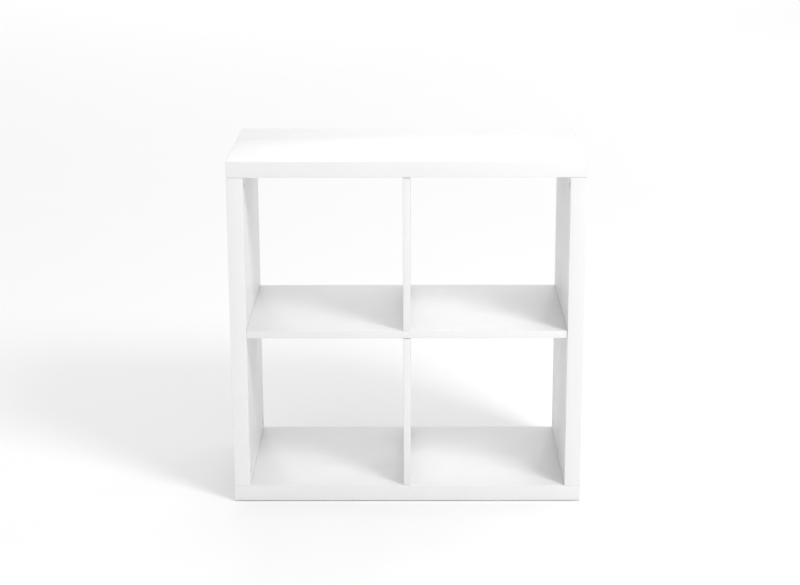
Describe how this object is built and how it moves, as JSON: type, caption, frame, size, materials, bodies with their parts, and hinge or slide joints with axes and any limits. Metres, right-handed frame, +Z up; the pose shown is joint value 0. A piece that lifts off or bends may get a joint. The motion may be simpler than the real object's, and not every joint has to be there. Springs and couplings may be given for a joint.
{
  "type": "cube storage unit",
  "caption": "Open cube storage unit: two rows and two columns of square cells between thick hollow-core panels, held by cam locks.",
  "frame": {"origin": "on the floor, below the middle of the unit", "axes": "+Z up, -Y towards the front, +X to the right of someone facing the front"},
  "size_m": [0.765, 0.39, 0.767],
  "materials": {
    "white_lacquer": "satin",
    "white_board": "satin",
    "white_edge_band": "satin",
    "chipboard": "matte",
    "kraft_paper": "matte",
    "zinc_alloy": "satin",
    "plated_steel": "satin",
    "beech": "matte",
    "white_plastic": "satin"
  },
  "bodies": {
    "carcass": {"top_panel_outer_skin": "white_lacquer", "top_panel_inner_skin": "white_lacquer", "top_panel_frame": "chipboard", "top_panel_honeycomb": "kraft_paper", "top_panel_edge_band": "white_edge_band", "bottom_panel_outer_skin": "white_lacquer", "bottom_panel_inner_skin": "white_lacquer", "bottom_panel_frame": "chipboard", "bottom_panel_honeycomb": "kraft_paper", "bottom_panel_edge_band": "white_edge_band", "left_side_outer_skin": "white_lacquer", "left_side_inner_skin": "white_lacquer", "left_side_frame": "chipboard", "left_side_honeycomb": "kraft_paper", "left_side_front_edge_band": "white_edge_band", "left_side_back_edge_band": "white_edge_band", "right_side_outer_skin": "white_lacquer", "right_side_inner_skin": "white_lacquer", "right_side_frame": "chipboard", "right_side_honeycomb": "kraft_paper", "right_side_front_edge_band": "white_edge_band", "right_side_back_edge_band": "white_edge_band", "middle_shelf": "white_board", "upper_divider": "white_board", "lower_divider": "white_board", "cam_bolt_left_bottom_front": "plated_steel", "cam_bolt_left_bottom_back": "plated_steel", "cam_bolt_left_top_front": "plated_steel", "cam_bolt_left_top_back": "plated_steel", "cam_bolt_right_bottom_front": "plated_steel", "cam_bolt_right_bottom_back": "plated_steel", "cam_bolt_right_top_front": "plated_steel", "cam_bolt_right_top_back": "plated_steel", "corner_dowel_left_bottom": "beech", "corner_dowel_left_top": "beech", "corner_dowel_right_bottom": "beech", "corner_dowel_right_top": "beech", "shelf_dowel_left_front": "beech", "shelf_dowel_left_back": "beech", "shelf_dowel_right_front": "beech", "shelf_dowel_right_back": "beech", "divider_dowel_bottom_front": "beech", "divider_dowel_bottom_back": "beech", "divider_dowel_middle_front": "beech", "divider_dowel_middle_back": "beech", "divider_dowel_top_front": "beech", "divider_dowel_top_back": "beech", "glide_left_front": "white_plastic", "glide_left_back": "white_plastic", "glide_right_front": "white_plastic", "glide_right_back": "white_plastic"},
    "cam_left_bottom_front": {"cam_left_bottom_front": "zinc_alloy"},
    "cam_left_bottom_back": {"cam_left_bottom_back": "zinc_alloy"},
    "cam_left_top_front": {"cam_left_top_front": "zinc_alloy"},
    "cam_left_top_back": {"cam_left_top_back": "zinc_alloy"},
    "cam_right_bottom_front": {"cam_right_bottom_front": "zinc_alloy"},
    "cam_right_bottom_back": {"cam_right_bottom_back": "zinc_alloy"},
    "cam_right_top_front": {"cam_right_top_front": "zinc_alloy"},
    "cam_right_top_back": {"cam_right_top_back": "zinc_alloy"}
  },
  "joints": [
    {"name": "cam_left_bottom_front_turn", "type": "hinge", "parent": "carcass", "child": "cam_left_bottom_front", "pos_m": [-0.3485, -0.158, 0.0605], "axis": [1, 0, 0], "range_deg": [0, 180]},
    {"name": "cam_left_bottom_back_turn", "type": "hinge", "parent": "carcass", "child": "cam_left_bottom_back", "pos_m": [-0.3485, 0.158, 0.0605], "axis": [1, 0, 0], "range_deg": [0, 180]},
    {"name": "cam_left_top_front_turn", "type": "hinge", "parent": "carcass", "child": "cam_left_top_front", "pos_m": [-0.3485, -0.158, 0.7085], "axis": [1, 0, 0], "range_deg": [0, 180]},
    {"name": "cam_left_top_back_turn", "type": "hinge", "parent": "carcass", "child": "cam_left_top_back", "pos_m": [-0.3485, 0.158, 0.7085], "axis": [1, 0, 0], "range_deg": [0, 180]},
    {"name": "cam_right_bottom_front_turn", "type": "hinge", "parent": "carcass", "child": "cam_right_bottom_front", "pos_m": [0.3485, -0.158, 0.0605], "axis": [-1, 0, 0], "range_deg": [0, 180]},
    {"name": "cam_right_bottom_back_turn", "type": "hinge", "parent": "carcass", "child": "cam_right_bottom_back", "pos_m": [0.3485, 0.158, 0.0605], "axis": [-1, 0, 0], "range_deg": [0, 180]},
    {"name": "cam_right_top_front_turn", "type": "hinge", "parent": "carcass", "child": "cam_right_top_front", "pos_m": [0.3485, -0.158, 0.7085], "axis": [-1, 0, 0], "range_deg": [0, 180]},
    {"name": "cam_right_top_back_turn", "type": "hinge", "parent": "carcass", "child": "cam_right_top_back", "pos_m": [0.3485, 0.158, 0.7085], "axis": [-1, 0, 0], "range_deg": [0, 180]}
  ]
}
